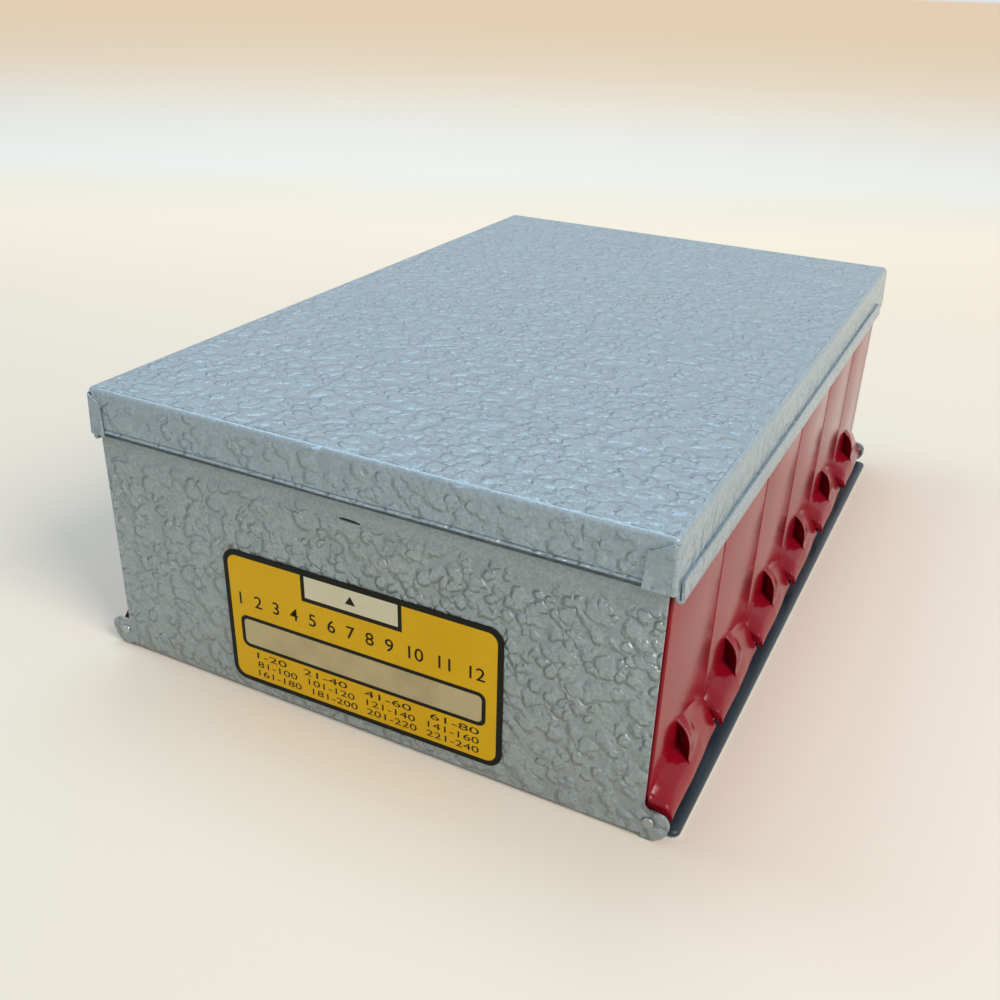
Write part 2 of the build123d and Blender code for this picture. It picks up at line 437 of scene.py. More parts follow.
@dataclass(frozen=True)
class EdgedEnamel:
    """Dark navy enamel with a pale-blue highlight painted along its lowest edge."""

    name: str = "navy_enamel"
    colour: Point = (0.013, 0.031, 0.046)
    worn: Point = (0.022, 0.042, 0.062)
    # Pale blue of the painted highlight, standing in for sky reflected on the rounded lower rim.
    edge: Point = (0.58, 0.70, 0.82)
    highlight_height: float = 0.34

    def make(self) -> Material:
        """Builds the finish.

        Returns:
            The material.
        """
        graph = Graph(self.name)
        broad = graph.noise(graph.place, 90, 4).outputs["Fac"]
        fine = graph.noise(graph.place, 900, 3).outputs["Fac"]
        _, _, height = graph.parts("XYZ", graph.place)
        colour = graph.mix(graph.span(broad, 0.4, 0.7, 0.0, 0.5), self.colour, self.worn)
        # Painted highlight: the lowest part of the rim is coloured pale blue as if it reflected the sky.
        low = graph.math("ADD", height, graph.span(fine, 0.2, 0.8, -0.00008, 0.00008))
        painted_highlight = graph.span(low, self.highlight_height * 0.6 * MM, self.highlight_height * 1.4 * MM, 0.85, 0.0)
        colour = graph.mix(painted_highlight, colour, self.edge)
        graph.bump(fine, 0.4, 0.02)
        graph.set(Base_Color=colour, Roughness=graph.span(broad, 0.3, 0.7, 0.24, 0.4))
        return graph.material


def put(name: str, data: bpy.types.ID) -> Object:
    """Makes an object of its data and links it to the scene.

    Args:
        name: Name of the object.
        data: Its mesh, curve, lamp or camera.

    Returns:
        The object.
    """
    made = bpy.data.objects.new(name, data)
    bpy.context.scene.collection.objects.link(made)
    return made


class Shaper:
    """Collects faces in millimetres and makes one Blender object of them."""

    def __init__(self, name: str) -> None:
        """Starts an empty piece.

        Args:
            name: Name of the piece.
        """
        self.name = name
        self.mesh = bmesh.new()

    def vert(self, point: Sequence[float]) -> bmesh.types.BMVert:
        """Adds one point, given in millimetres."""
        return self.mesh.verts.new(Vector(point) * MM)

    def face(self, points: Sequence[Sequence[float]]) -> None:
        """Adds one face through points in millimetres."""
        self.mesh.faces.new([self.vert(point) for point in points])

    def rows(self, rows: Sequence[Sequence[Sequence[float]]], closed: bool = False) -> None:
        """Adds a surface of quads through rows of points.

        Args:
            rows: Rows with the same number of points.
            closed: Whether each row closes on itself.
        """
        verts = [[self.vert(point) for point in row] for row in rows]
        for first, second in zip(verts, verts[1:]):
            count = len(first)
            for index in range(count if closed else count - 1):
                after = (index + 1) % count
                self.mesh.faces.new((first[index], first[after], second[after], second[index]))

    def swept(self, outline: Sequence[Flat], place: Placing, low: float, high: float) -> None:
        """Adds a closed outline swept between two positions, with both ends capped.

        Args:
            outline: Closed outline in two coordinates.
            place: Gives the point for (first, second, position).
            low: First position.
            high: Last position.
        """
        rows = [[place(a, b, at) for a, b in outline] for at in (low, high)]
        self.rows(rows, closed=True)
        self.face(rows[0])
        self.face(rows[1][::-1])

    def build(self, material: Material, body: str, slot: str, crease: float = 40.0) -> Object:
        """Welds the faces, makes the object and lets it ride on a body.

        Args:
            material: Finish of the piece.
            body: CAD body that carries it.
            slot: The record's material slot; not used.
            crease: Angle in degrees above which an edge stays sharp.

        Returns:
            The object.
        """
        bmesh.ops.remove_doubles(self.mesh, verts=self.mesh.verts, dist=1e-7)
        bmesh.ops.dissolve_degenerate(self.mesh, edges=self.mesh.edges, dist=1e-7)
        bmesh.ops.recalc_face_normals(self.mesh, faces=self.mesh.faces)
        data = bpy.data.meshes.new(self.name)
        self.mesh.to_mesh(data)
        self.mesh.free()
        data.materials.append(material)
        data.shade_smooth()
        data.set_sharp_from_angle(angle=math.radians(crease))
        made = put(self.name, data)
        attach(made, body)
        LOG.info("%s: %d faces on %s", self.name, len(data.polygons), body)
        return made


def bevelled(piece: Object, width: float, segments: int = 2, angle: float = 35.0) -> Object:
    """Rounds a piece's sharp edges.

    Args:
        piece: The object.
        width: Width in millimetres.
        segments: Steps across the round.
        angle: Edges sharper than this many degrees are rounded.

    Returns:
        The same object.
    """
    edge = piece.modifiers.new("edges", "BEVEL")
    edge.width = width * MM
    edge.segments = segments
    edge.limit_method = "ANGLE"
    edge.angle_limit = math.radians(angle)
    edge.harden_normals = True
    return piece


def thickened(piece: Object, sheet: float, middle: float) -> Object:
    """Gives a surface the thickness of its sheet, grown inwards.

    Args:
        piece: The object.
        sheet: Thickness in millimetres.
        middle: Height in millimetres of the point on the middle line that the outer faces look away from.

    Returns:
        The same object.
    """
    centre = Vector((0, 0, middle * MM))
    vote = sum((face.center - centre).dot(face.normal) * face.area for face in piece.data.polygons)
    solid = piece.modifiers.new("sheet", "SOLIDIFY")
    solid.thickness = sheet * MM
    solid.offset = -1.0 if vote > 0 else 1.0
    solid.use_even_offset = True
    return piece


def arc(centre: Flat, radius: float, start: float, end: float, steps: int = 6) -> list[Flat]:
    """Points on a circle's arc.

    Args:
        centre: Its centre.
        radius: Its radius.
        start: First angle in degrees.
        end: Last angle in degrees.
        steps: Number of pieces.

    Returns:
        The points, ends included.
    """
    angles = [math.radians(start + (end - start) * step / steps) for step in range(steps + 1)]
    return [(centre[0] + radius * math.cos(a), centre[1] + radius * math.sin(a)) for a in angles]


def even(low: float, high: float, step: float) -> list[float]:
    """Evenly spaced values from low to high.

    Args:
        low: First value.
        high: Last value.
        step: Largest distance between two.

    Returns:
        The values.
    """
    count = max(1, math.ceil((high - low) / step))
    return [low + (high - low) * index / count for index in range(count + 1)]


@dataclass
class Studio:
    """Floor, backdrop, lights and camera."""

    eye: Point = (89.634, -211.601, 126.912)
    turn: Point = (62.8588, -1.7856, 27.1398)
    lens: float = 38.396
    heading: float = 26.2
    floor_colour: Point = (0.91, 0.82, 0.69)
    far_lift: tuple[tuple[float, Point], ...] = (
        (0.05, (0.02, 0.02, 0.03)),
        (0.20, (0.12, 0.085, 0.06)),
        (0.32, (0.21, 0.17, 0.118)),
        (0.40, (0.19, 0.185, 0.16)),
        (0.48, (0.195, 0.24, 0.275)),
        (0.67, (0.24, 0.257, 0.277)),
        (0.87, (0.30, 0.27, 0.213)),
        (1.17, (0.353, 0.273, 0.177)),
        (1.68, (0.405, 0.288, 0.171)),
        (2.72, (0.43, 0.30, 0.169)),
    )
    half_floor: float = 3.0
    near_end: float = -2.0
    far_end: float = 5.0
    day_colour: Point = (0.97, 0.98, 1.0)
    day_strength: float = 0.31
    seen_strength: float = 0.78
    aim: Point = (0.0, 0.0, 0.03)
    lamps: tuple[tuple[str, Point, float, float, Point], ...] = (
        ("skylight", (-0.14, 0.28, 1.0), 0.5, 3.0, (0.62, 0.84, 1.0)),
        ("window", (-0.56, -0.03, 0.88), 0.36, 1.9, (0.60, 0.83, 1.0)),
        ("room", (0.86, -0.32, 0.82), 0.5, 8.4, (1.0, 0.94, 0.85)),
    )

    def camera(self) -> None:
        """Places the camera at the photograph's viewpoint."""
        data = bpy.data.cameras.new("viewpoint")
        data.lens = self.lens
        data.sensor_width = 36
        data.clip_start = 0.005
        data.clip_end = 50
        made = put("viewpoint", data)
        made.location = Vector(self.eye) * MM
        made.rotation_euler = [math.radians(v) for v in self.turn]
        bpy.context.scene.camera = made

    def lamp(self, name: str, place: Point, size: float, power: float, colour: Point) -> None:
        """Adds a soft square lamp that points at the box.

        Args:
            name: Its name.
            place: Where it stands, in metres.
            size: Side length in metres.
            power: Power in watts.
            colour: Its colour.
        """
        data = bpy.data.lights.new(name, "AREA")
        data.size = size
        data.energy = power
        data.color = colour
        made = put(name, data)
        made.location = place
        made.rotation_euler = (Vector(self.aim) - Vector(place)).to_track_quat("-Z", "Y").to_euler()

    def paper(self) -> Graph:
        """Makes the pale paper, which the camera and gloss see brighter the farther it is.

        Returns:
            The material's nodes.
        """
        graph = Graph("pale_floor")
        turn = math.radians(self.heading)
        along = graph.vector("DOT_PRODUCT", graph.place, (-math.sin(turn), math.cos(turn), 0.0))
        ramp = graph.node("ShaderNodeValToRGB")
        graph.feed(ramp.inputs[0], graph.math("MULTIPLY", along, 1 / self.far_lift[-1][0]))
        stops = ramp.color_ramp.elements
        while len(stops) < len(self.far_lift):
            stops.new(0.5)
        for stop, (distance, tint) in zip(stops, self.far_lift):
            stop.position = distance / self.far_lift[-1][0]
            stop.color = (*tint, 1.0)
        graph.set(Base_Color=(*self.floor_colour, 1.0), Roughness=0.6, Specular_IOR_Level=0.15)
        seen = graph.node("ShaderNodeLightPath")
        direct = graph.math("MAXIMUM", seen.outputs["Is Camera Ray"], seen.outputs["Is Glossy Ray"])
        direct = graph.math("MAXIMUM", direct, seen.outputs["Is Transmission Ray"])
        graph.feed(graph.shader.inputs["Emission Color"], ramp.outputs[0])
        graph.feed(graph.shader.inputs["Emission Strength"], direct)
        return graph

    def floor(self) -> None:
        """Makes the pale floor, which runs back to the horizon."""
        graph = self.paper()
        turn = math.radians(self.heading)
        mesh = bmesh.new()
        verts = []
        wide, near, far = self.half_floor, self.near_end, self.far_end
        for across, along in ((-wide, near), (wide, near), (wide, far), (-wide, far)):
            x = across * math.cos(turn) - along * math.sin(turn)
            y = across * math.sin(turn) + along * math.cos(turn)
            verts.append(mesh.verts.new((x, y, 0.0)))
        mesh.faces.new(verts)
        data = bpy.data.meshes.new("floor")
        mesh.to_mesh(data)
        mesh.free()
        data.materials.append(graph.material)
        made = put("floor", data)

    def light(self) -> None:
        """Adds the world's even light and the soft lamps."""
        world = bpy.data.worlds.new("studio")
        world.use_nodes = True
        tree = world.node_tree
        back = tree.nodes["Background"]
        back.inputs["Color"].default_value = (*self.day_colour, 1.0)
        seen = tree.nodes.new("ShaderNodeLightPath")
        level = tree.nodes.new("ShaderNodeMapRange")
        either = tree.nodes.new("ShaderNodeMath")
        either.operation = "MAXIMUM"
        tree.links.new(seen.outputs["Is Camera Ray"], either.inputs[0])
        tree.links.new(seen.outputs["Is Glossy Ray"], either.inputs[1])
        tree.links.new(either.outputs[0], level.inputs["Value"])
        level.inputs["To Min"].default_value = self.day_strength
        level.inputs["To Max"].default_value = self.seen_strength
        tree.links.new(level.outputs[0], back.inputs["Strength"])
        bpy.context.scene.world = world
        for lamp in self.lamps:
            self.lamp(*lamp)

    def build(self) -> None:
        """Sets up everything round the object."""
        bpy.context.scene.view_settings.view_transform = "Standard"
        self.camera()
        self.floor()
        self.light()


@dataclass
class LidTab:
    """One end of a side skirt, wrapped round the corner over the end skirt."""

    side: Side
    end: End
    inner_low: float
    inner_high: float
    low_top: float
    high_top: float
    stand_off: float
    sheet: float
    bottom: float = 47.0
    inner_rise: float = 6.4
    corner_top: float = 54.95
    wrap_radius: float = 0.7
    plane: float = 85.6
    start: float = 84.6

    def build(self, lid: "Lid") -> Object:
        """Makes the tab.

        Args:
            lid: The lid it belongs to.

        Returns:
            The object.
        """
        shaper = Shaper(f"lid_tab_{self.end.name.lower()}_{self.side.name.lower()}")
        plane = self.plane + self.sheet
        centre = plane - self.wrap_radius
        columns: list[tuple[float, float, float]] = [(0.0, self.start, 0.0), (0.0, centre, 0.0)]
        for across, along in arc((-self.wrap_radius, centre), self.wrap_radius, 0, 90, 6)[1:]:
            columns.append((across, along, 0.0))
        columns += [(-self.wrap_radius, plane, share) for share in even(0.0, 1.0, 0.08)[1:]]
        rows = []
        for across, along, share in columns:
            row = []
            for step in even(0.0, 1.0, 0.125):
                top = self.top_at(across, share)
                z = self.bottom + (top - self.bottom) * step
                edge = lid.side_at(z)
                inner = self.inner_low + (self.inner_high - self.inner_low) * (z - self.bottom) / self.inner_rise
                x = edge + across + (inner - edge - across) * share
                bend = self.stand_off * share**2 * (1 - 0.75 * step)
                row.append((self.side.value * x, self.end.value * (along + bend), z))
            rows.append(row)
        shaper.rows(rows)
        piece = shaper.build(lid.material, "lid", "lid_shell")
        thickened(piece, self.sheet, lid.middle)
        return bevelled(piece, 0.1)

    def top_at(self, across: float, share: float) -> float:
        """Height of the tab's upper edge.

        Args:
            across: Distance round the corner, 0 on the side skirt.
            share: 0 at the corner, 1 at the tab's free edge.

        Returns:
            The height.
        """
        if share > 0:
            return self.high_top + (self.low_top - self.high_top) * min(1.0, share * 1.12)
        return self.high_top + (self.corner_top - self.high_top) * (1 + across / self.wrap_radius)


@dataclass
class Lid:
    """Lift-off lid: top, end skirts, leaning side skirts with a folded hem, and wrapped corner tabs."""

    material: Material
    half_width: float = 55.45
    half_length: float = 85.6
    top: float = 56.0
    middle: float = 26.0
    sheet: float = 0.5
    edge_radius: float = 1.0
    lean: float = 0.056
    end_bottom: float = 47.6
    bead: tuple[Flat, ...] = (
        (-0.02, 0.8), (-0.16, 0.7), (-0.18, 0.56), (-0.06, 0.48), (0.12, 0.38), (0.2, 0.24), (0.14, 0.08),
        (-0.04, 0.0),
    )
    side_bottom: float = 45.75
    hem_gap: float = 0.2
    hem_top: float = 47.9
    ledge_top: float = 48.75
    hem_front: float = 84.3
    hem_rear: float = 77.6
    hem_slant: float = 2.6 / 3
    bow: float = 0.3
    bow_x: float = -1.5
    bow_parts: tuple[Flat, ...] = ((9.0, 0.65), (34.0, 0.35))

    def side_at(self, z: float) -> float:
        """Half width of the side skirt's outer face at a height."""
        return self.half_width + self.lean * (self.top - z)

    def top_round(self, out: float) -> list[Flat]:
        """The top's rounded edge, ending at a distance out."""
        return arc((out - self.edge_radius, self.top - self.edge_radius), self.edge_radius, 90, 0, 6)

    def side_path(self) -> list[Flat]:
        """Outer face of the right side from the top's edge down to the side skirt's lower edge.

        Returns:
            Points of x and z.
        """
        round_top = self.top_round(self.half_width)
        drop = [(self.side_at(z), z) for z in (53.0, 51.0, 49.0, 47.0, self.side_bottom)]
        return round_top + drop

    def hem_path(self) -> list[Flat]:
        """Face of the hem that looks at the skirt, from the fold up and back in to the skirt.

        Returns:
            Points of x and z.
        """
        x = self.side_at(self.side_bottom)
        half_gap = self.hem_gap / 2
        fold = arc((x + half_gap, self.side_bottom), half_gap, 180, 360, 6)
        upper = [(self.side_at(self.hem_top) + self.hem_gap, self.hem_top)]
        upper.append((self.side_at(self.ledge_top) + 0.04, self.ledge_top))
        return fold + upper

    def end_path(self) -> list[Flat]:
        """Outer face of an end skirt from the top's edge down.

        Returns:
            Points of y and z, with y positive.
        """
        round_top = self.top_round(self.half_length)
        flat = [(self.half_length, z) for z in (53.5, 52.0, 50.5, 49.0)]
        return round_top + flat + [(self.half_length + out, self.end_bottom + up) for out, up in self.bead]

    def bowed(self, x: float, z: float) -> float:
        """How far the end skirt's lower edge bows out.

        Args:
            x: Place across the skirt.
            z: Height.

        Returns:
            The distance in millimetres.
        """
        low = max(0.0, (self.top - self.edge_radius - z) / (self.top - self.edge_radius - self.end_bottom))
        humps = [share * math.exp(-(((x - self.bow_x) / width) ** 2)) for width, share in self.bow_parts]
        return self.bow * low**1.6 * sum(humps)

    def corner(self, shaper: Shaper, side: Side, end: End) -> None:
        """Adds the rounded corner of the top.

        Args:
            shaper: Where the faces go.
            side: Which long side.
            end: Which short end.
        """
        radius = self.edge_radius
        rows = []
        for up in even(0, 90, 15):
            row = []
            for round_angle in even(0, 90, 15):
                flat = radius * math.sin(math.radians(up))
                x = self.half_width - radius + flat * math.cos(math.radians(round_angle))
                y = self.half_length - radius + flat * math.sin(math.radians(round_angle))
                z = self.top - radius + radius * math.cos(math.radians(up))
                row.append((side.value * x, end.value * y, z))
            rows.append(row)
        shaper.rows(rows)

    def sheet_metal(self) -> Object:
        """Makes the folded sheet without its tabs.

        Returns:
            The object.
        """
        shaper = Shaper("lid_sheet")
        flat_x = self.half_width - self.edge_radius
        flat_y = self.half_length - self.edge_radius
        xs = even(-flat_x, flat_x, 4.0)
        ys = sorted({*even(-flat_y, flat_y, 6.0), -self.hem_front, self.hem_rear})
        shaper.rows([[(x, y, self.top) for y in ys] for x in xs])
        hem_ys = [y for y in ys if -self.hem_front <= y <= self.hem_rear]
        for side in Side:
            shaper.rows([[(side.value * x, y, z) for y in ys] for x, z in self.side_path()])
            rows = []
            for index, (x, z) in enumerate(self.hem_path()):
                cut = self.hem_slant * max(0.0, z - self.side_bottom) if index > 6 else 0.0
                rows.append([(side.value * x, y - (cut if y == self.hem_rear else 0), z) for y in hem_ys])
            shaper.rows(rows)
        for end in End:
            rows = []
            for y, z in self.end_path():
                rows.append([(x, end.value * (y + self.bowed(x, z)), z) for x in xs])
            shaper.rows(rows)
            for side in Side:
                self.corner(shaper, side, end)
        piece = shaper.build(self.material, "lid", "lid_shell", crease=50)
        thickened(piece, self.sheet, self.middle)
        bevelled(piece, 0.1, angle=50)
        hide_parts("lid_shell")
        return piece

    def build(self) -> None:
        """Makes the lid's pieces."""
        self.sheet_metal()
        for end in End:
            LidTab(
                Side.RIGHT,
                end,
                inner_low=50.6,
                inner_high=51.06,
                low_top=53.4,
                high_top=55.35,
                stand_off=0.05,
                sheet=0.48,
            ).build(self)
            LidTab(
                Side.LEFT,
                end,
                inner_low=52.2,
                inner_high=52.7,
                low_top=53.5,
                high_top=54.75,
                stand_off=0.24,
                sheet=0.3,
            ).build(self)


@dataclass
class CaseSheet:
    """One sheet bent into the front panel, the bottom and the rear panel, with four ears."""

    material: Material
    steel: Material
    shade: Material
    half_length: float = 84.6
    half_width: float = 54.45
    top: float = 55.45
    middle: float = 25.0
    sheet: float = 0.6
    bend: float = 1.2
    joggle: float = 0.6
    joggle_z: float = 46.2
    ear_radius: float = 3.45
    ear_upper: tuple[Flat, ...] = (
        (58.86, 4.55), (58.62, 5.0), (58.25, 5.42), (57.75, 5.72), (57.2, 5.86), (56.5, 5.9), (55.6, 5.9),
        (55.15, 5.98), (54.8, 6.2), (54.57, 6.5), (54.45, 6.9),
    )
    pin_x: float = 55.55
    pin_z: float = 3.66
    slit_x: float = -0.3
    slit_half: float = 2.15
    slit_z: float = 43.3
    slit_half_height: float = 0.28
    # Near-black flat ring under the head's rim: a painted shadow round the rivet.
    rivet_shadow_ring: tuple[Flat, ...] = ((1.06, 0.0), (1.06, 0.02), (0.95, 0.03), (0.75, 0.03))
    rivet_head: tuple[Flat, ...] = ((0.9, 0.02), (0.9, 0.14), (0.83, 0.25), (0.66, 0.31), (0.4, 0.33), (0.0, 0.335))

    def outline(self) -> list[Flat]:
        """Outline of an end panel's flat part with its ears, from the lower left round to the upper left.

        Returns:
            Points of x and z.
        """
        ear = arc((self.pin_x, self.pin_z), self.ear_radius, -84, 10, 16)
        right = [(self.half_width, self.bend), (self.half_width, 0.02), (self.pin_x - 0.4, 0.08)]
        right += [*ear, *self.ear_upper, (self.half_width, self.joggle_z)]
        left = [(-x, z) for x, z in reversed(right)]
        return right + left

    def slit(self) -> list[Flat]:
        """Outline of the small slit in the front panel.

        Returns:
            Points of x and z.
        """
        points = []
        for angle in even(0, 360, 24)[:-1]:
            turn = math.radians(angle)
            x = self.slit_half * math.copysign(abs(math.cos(turn)) ** 0.6, math.cos(turn))
            z = self.slit_half_height * math.sin(turn) - 0.06 * x / self.slit_half
            points.append((self.slit_x + x, self.slit_z + z))
        return points

    def panel(self, shaper: Shaper, end: End, holes: Sequence[Sequence[Flat]]) -> None:
        """Adds the flat part of one end panel.

        Args:
            shaper: Where the faces go.
            end: Which end.
            holes: Outlines cut out of it.
        """
        y = end.value * self.half_length
        edges = []
        for loop in (self.outline(), *holes):
            verts = [shaper.vert((x, y, z)) for x, z in loop]
            edges += [shaper.mesh.edges.new((a, b)) for a, b in zip(verts, verts[1:] + verts[:1])]
        outward = (0, end.value, 0)
        bmesh.ops.triangle_fill(shaper.mesh, edges=edges, use_beauty=True, use_dissolve=False, normal=outward)

    def upper_band(self, shaper: Shaper, end: End) -> None:
        """Adds the set-back band above the ledge.

        Args:
            shaper: Where the faces go.
            end: Which end.
        """
        back = self.half_length - self.joggle
        path = [(self.half_length, self.joggle_z), (self.half_length - 0.06, self.joggle_z + 0.14)]
        path += [(back + 0.10, self.joggle_z + 0.46), (back, self.joggle_z + 0.66), (back, self.top)]
        xs = (-self.half_width, self.half_width)
        shaper.rows([[(x, end.value * y, z) for x in xs] for y, z in path])

    def lower_bend(self, shaper: Shaper) -> None:
        """Adds the bends and the bottom.

        Args:
            shaper: Where the faces go.
        """
        centre = self.half_length - self.bend
        front = [(-y, z) for y, z in arc((centre, self.bend), self.bend, 0, -90, 8)]
        rear = [(-y, z) for y, z in reversed(front)]
        xs = (-self.half_width, self.half_width)
        shaper.rows([[(x, y, z) for x in xs] for y, z in front + rear])

    def rivet(self, side: Side, end: End) -> None:
        """Makes the riveted end of a hinge rod on a near-black ring, a painted shadow round its head.

        Args:
            side: Which long side.
            end: Which short end.
        """
        name = f"{end.name.lower()}_{side.name.lower()}"
        x, face = side.value * self.pin_x, self.half_length
        for part, profile, finish in (("ring", self.rivet_shadow_ring, self.shade), ("head", self.rivet_head, self.steel)):
            shaper = Shaper(f"rivet_{part}_{name}")
            rows = []
            for radius, out in profile:
                row = []
                for angle in even(0, 360, 15)[:-1]:
                    across, up = radius * math.cos(math.radians(angle)), radius * math.sin(math.radians(angle))
                    row.append((x + across, end.value * (face + out), self.pin_z + up))
                rows.append(row)
            shaper.rows(rows, closed=True)
            shaper.build(finish, "case", "case_shell", crease=60)

    def build(self) -> None:
        """Makes the case sheet and the rivet heads."""
        shaper = Shaper("case_sheet")
        self.panel(shaper, End.FRONT, [self.slit()])
        self.panel(shaper, End.REAR, [])
        for end in End:
            self.upper_band(shaper, end)
        self.lower_bend(shaper)
        piece = shaper.build(self.material, "case", "case_shell", crease=30)
        thickened(piece, self.sheet, self.middle)
        bevelled(piece, 0.1)
        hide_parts("case_shell")
        for side in Side:
            for end in End:
                self.rivet(side, end)


@dataclass
class Label:
    """Thin printed plate on the front panel, with its print as thin layers."""

    plate: Material
    ink: Material
    cream: Material
    tan: Material
    width: float = 56.9
    height: float = 28.1
    sheet: float = 0.3
    corner: float = 2.8
    centre: Flat = (0.5, 17.1)
    turn: float = 0.75
    face: float = 84.6
    border: float = 1.05
    press_frame: tuple[Flat, Flat, float] = ((-11.3, 7.75), (9.35, 13.2), 0.1)
    press_field: tuple[Flat, Flat, float] = ((-10.5, 8.6), (8.6, 12.98), 0.1)
    press_mark: tuple[Flat, ...] = ((-2.0, 10.0), (0.1, 10.0), (-0.95, 11.7))
    slot_line: tuple[Flat, Flat, float] = ((-25.6, -6.2), (25.4, 0.7), 1.5)
    slot_field: tuple[Flat, Flat, float] = ((-24.85, -5.45), (24.65, -0.05), 0.9)
    ink_depth: float = 0.012
    digit_scale: float = 1.45
    numbers: tuple[tuple[str, float, float, float, float], ...] = (
        ("1  2  3  4  5  6  7  8  9  10  11  12", -25.4, 25.2, 3.0, 2.5),
        ("1-20   21-40   41-60   61-80", -22.6, 24.2, -8.25, 1.3),
        ("81-100  101-120  121-140  141-160", -22.6, 24.2, -10.2, 1.3),
        ("161-180  181-200  201-220  221-240", -22.6, 24.2, -12.15, 1.3),
    )

    def at(self, across: float, up: float, out: float) -> Point:
        """A point of the label in the row frame.

        Args:
            across: Distance right of the label's centre.
            up: Distance above it.
            out: Distance out of the front panel.

        Returns:
            The point in millimetres.
        """
        turn = math.radians(self.turn)
        x = self.centre[0] + across * math.cos(turn) - up * math.sin(turn)
        z = self.centre[1] + across * math.sin(turn) + up * math.cos(turn)
        return (x, -self.face - out, z)

    def rounded(self, low: Flat, high: Flat, radius: float) -> list[Flat]:
        """Outline of a rectangle with rounded corners.

        Args:
            low: Lower left corner.
            high: Upper right corner.
            radius: Radius of its corners.

        Returns:
            The points.
        """
        spots = [(high[0], high[1], -1, -1, 0), (low[0], high[1], 1, -1, 90)]
        spots += [(low[0], low[1], 1, 1, 180), (high[0], low[1], -1, 1, 270)]
        points = []
        for x, z, dx, dz, start in spots:
            points += arc((x + dx * radius, z + dz * radius), radius, start, start + 90, 8)
        return points

    def layer(self, name: str, outline: Sequence[Flat], low: float, high: float, finish: Material) -> Object:
        """Makes a flat layer of print.

        Args:
            name: Name of the piece.
            outline: Its outline.
            low: Its back, measured out of the panel.
            high: Its face.
            finish: Its finish.

        Returns:
            The object.
        """
        shaper = Shaper(name)
        shaper.swept(outline, self.at, low, high)
        return shaper.build(finish, "case", "label_plate")

    def ring(self, name: str, outer: Sequence[Flat], inner: Sequence[Flat], low: float, high: float) -> Object:
        """Makes a closed band of ink between two outlines with the same number of points.

        Args:
            name: Name of the piece.
            outer: Outer outline.
            inner: Inner outline.
            low: Its back.
            high: Its face.

        Returns:
            The object.
        """
        shaper = Shaper(name)
        loops = [(outer, low), (outer, high), (inner, high), (inner, low)]
        shaper.rows([[self.at(a, b, out) for a, b in loop] for loop, out in loops], closed=True)
        return shaper.build(self.ink, "case", "label_plate")

    def write(self, index: int, text: str, left: float, right: float, up: float, size: float) -> None:
        """Prints one row of plain numbers.

        Args:
            index: Number of the row.
            text: The numbers.
            left: Where the row starts.
            right: Where it ends.
            up: Its base line.
            size: Height of a digit.
        """
        curve = bpy.data.curves.new(f"label_numbers_{index}", "FONT")
        curve.body = text
        curve.size = size * self.digit_scale
        curve.extrude = self.ink_depth
        curve.offset = 0.02 if size > 2 else 0.0
        maker = put("row", curve)
        data = bpy.data.meshes.new_from_object(maker.evaluated_get(bpy.context.evaluated_depsgraph_get()))
        bpy.data.objects.remove(maker)
        low = min(vert.co.x for vert in data.vertices)
        high = max(vert.co.x for vert in data.vertices)
        for vert in data.vertices:
            across = left + (vert.co.x - low) * (right - left) / (high - low)
            vert.co = Vector(self.at(across, up + vert.co.y, self.sheet + self.ink_depth + vert.co.z)) * MM
        data.materials.append(self.ink)
        made = put(f"label_numbers_{index}", data)
        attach(made, "case")
        LOG.info("%s: %d faces on case", made.name, len(data.polygons))

    def build(self) -> None:
        """Makes the plate and its print."""
        half_w, half_h, edge = self.width / 2, self.height / 2, self.border
        outer = self.rounded((-half_w, -half_h), (half_w, half_h), self.corner)
        plate = self.layer("label_plate_print", outer, 0.0, self.sheet, self.ink)
        bevelled(plate, 0.08)
        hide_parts("label_plate")
        inner = self.rounded((edge - half_w, edge - half_h), (half_w - edge, half_h - edge), self.corner - 0.9)
        self.layer("label_field", inner, self.sheet - 0.05, self.sheet + 0.01, self.plate)
        press_frame, press_field = self.rounded(*self.press_frame), self.rounded(*self.press_field)
        self.layer("label_press_frame", press_frame, self.sheet - 0.05, self.sheet + 0.022, self.ink)
        self.layer("label_press_field", press_field, self.sheet - 0.02, self.sheet + 0.034, self.cream)
        self.layer("label_press_mark", self.press_mark, self.sheet, self.sheet + 0.04, self.ink)
        slot_line, slot_field = self.rounded(*self.slot_line), self.rounded(*self.slot_field)
        self.ring("label_slot_line", slot_line, slot_field, self.sheet - 0.05, self.sheet + 0.025)
        self.layer("label_slot_field", slot_field, self.sheet - 0.05, self.sheet + 0.018, self.tan)
        for index, row in enumerate(self.numbers):
            self.write(index, *row)


